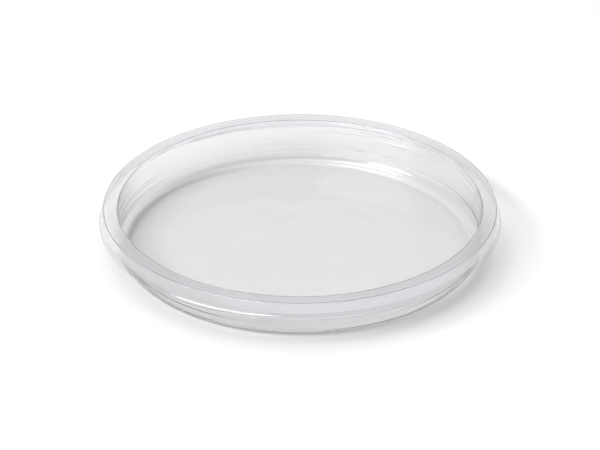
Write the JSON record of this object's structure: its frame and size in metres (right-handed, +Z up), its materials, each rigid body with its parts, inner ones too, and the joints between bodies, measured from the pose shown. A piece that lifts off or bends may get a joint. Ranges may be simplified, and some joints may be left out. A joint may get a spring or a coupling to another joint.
{
  "type": "shallow round dish",
  "caption": "Shallow round dish formed from thin clear plastic sheet, with a flat hollow rim, a short outer skirt ending in a flared lip, and a flat base.",
  "frame": {"origin": "centre of the base's underside, where the dish stands", "axes": "+Z up, along the axis of symmetry, out of the open side"},
  "size_m": [0.1194, 0.1194, 0.0142],
  "materials": {
    "clear_sheet": "clear, glossy"
  },
  "bodies": {
    "root": {"dish": "clear_sheet"}
  },
  "joints": []
}
